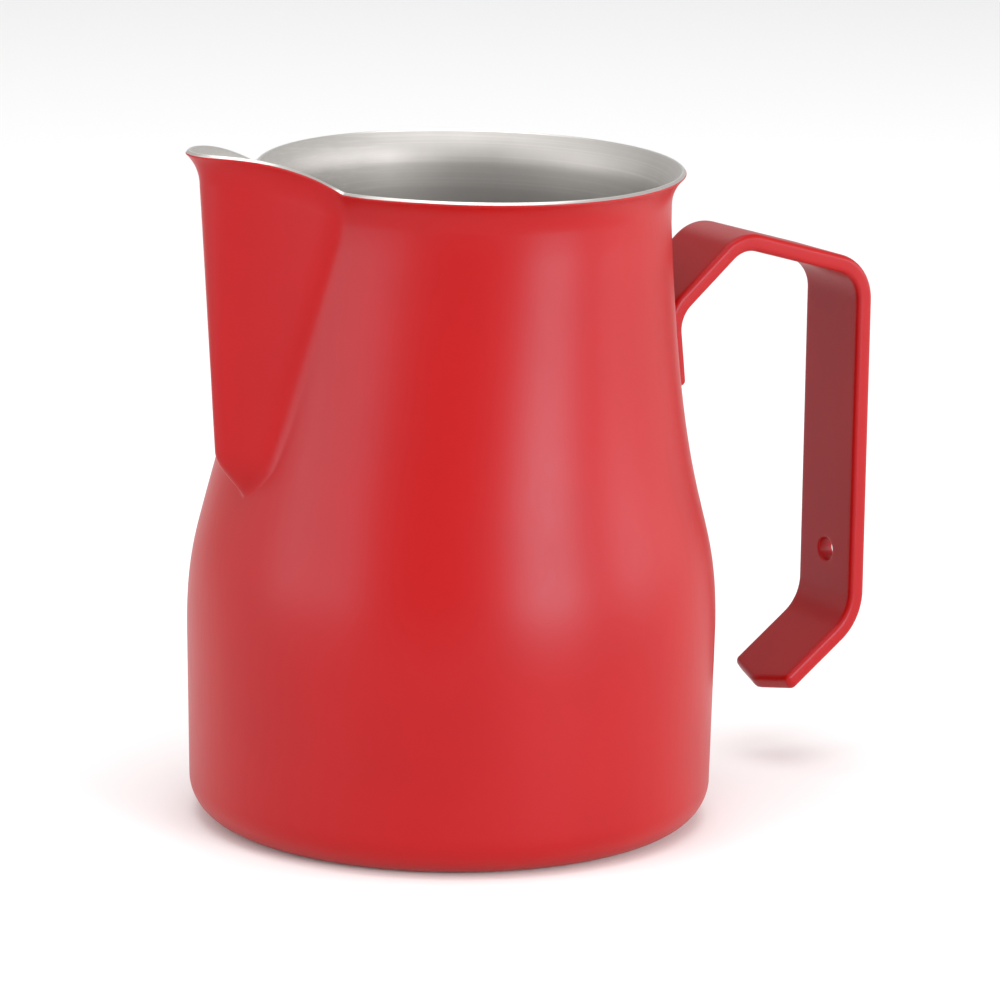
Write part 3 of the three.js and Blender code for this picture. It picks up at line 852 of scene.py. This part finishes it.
view = {
    "azimuth": -122.0,  # degrees from the handle's side, counter-clockwise
    "elevation": 12.68,
    "distance": 1.004,
    "aimHeight": 0.055,
    "yaw": -0.45,
    "pitch": 0.07,
    "roll": 0.77,
    "lens": 216.0,
}


def around(azimuth, elevation, distance, target):
    # The point at that bearing and distance from the target
    side, lift = math.radians(azimuth), math.radians(elevation)
    return Vector(target) + distance * Vector((
        math.cos(side) * math.cos(lift), math.sin(side) * math.cos(lift), math.sin(lift)))


def facing(spot, target):
    # Matrix of a light or camera at spot whose -Z looks at the target with Y up
    turn = (Vector(target) - spot).to_track_quat("-Z", "Y")
    return Matrix.Translation(spot) @ turn.to_matrix().to_4x4()


def makeFloor():
    half = studio["floorSize"] / 2
    mesh = bpy.data.meshes.new("floor")
    z = cadBox[0][2]
    corners = [(-half, -half, z), (half, -half, z), (half, half, z), (-half, half, z)]
    mesh.from_pydata(corners, [], [(0, 1, 2, 3)])
    floor = bpy.data.objects.new("floor", mesh)
    bpy.context.scene.collection.objects.link(floor)
    pale = Finish("pale_floor")
    pale.feed(pale.surface, {"Base Color": studio["floor"], "Roughness": 0.8, "Specular IOR Level": 0.2})
    mesh.materials.append(pale.material)


def makeLights():
    world = bpy.data.worlds.new("studio_air")
    world.use_nodes = True
    air = world.node_tree.nodes["Background"]
    air.inputs["Color"].default_value = studio["world"]
    air.inputs["Strength"].default_value = studio["worldStrength"]
    bpy.context.scene.world = world
    for panel in panels:
        light = bpy.data.lights.new(panel["name"], "AREA")
        light.shape = "RECTANGLE"
        light.size = panel["width"]
        light.size_y = panel["height"]
        light.energy = panel["brightness"] * math.pi * panel["width"] * panel["height"]
        lamp = bpy.data.objects.new(panel["name"], light)
        spot = around(view["azimuth"] + panel["azimuth"], panel["elevation"], panel["away"], studio["aim"])
        lamp.matrix_world = facing(spot, studio["aim"])
        bpy.context.scene.collection.objects.link(lamp)


def makeCamera():
    # A long lens well away, turned a touch off the body's middle
    aim = (0.0, 0.0, view["aimHeight"])
    spot = around(view["azimuth"], view["elevation"], view["distance"], aim)
    camera = bpy.data.objects.new("camera", bpy.data.cameras.new("camera"))
    camera.data.lens = view["lens"]
    camera.data.sensor_width = 36.0
    turns = [(view["yaw"], "Y"), (-view["pitch"], "X"), (view["roll"], "Z")]
    matrix = facing(spot, aim)
    for angle, axis in turns:
        matrix = matrix @ Matrix.Rotation(math.radians(angle), 4, axis)
    camera.matrix_world = matrix
    bpy.context.scene.collection.objects.link(camera)
    bpy.context.scene.camera = camera


makeCamera()
makeLights()
makeFloor()
print("studio ready")

nuggets = ["weld_nugget_upper", "weld_nugget_lower"]
weldSpots = []
for name in nuggets:
    low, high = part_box(name)
    weldSpots.append(((low[1] + high[1]) / 2, (low[2] + high[2]) / 2))

redCoat = coatFinish()
makeBody(steelFinish(weldSpots), redCoat)
makeHandle(redCoat)
makeFootWeld(redCoat)
weldSteel = weldFinish()
for name in nuggets:
    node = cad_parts[name]
    node.data.materials.clear()
    node.data.materials.append(weldSteel)
print("pieces finished")

bpy.context.scene.view_settings.view_transform = "Standard"
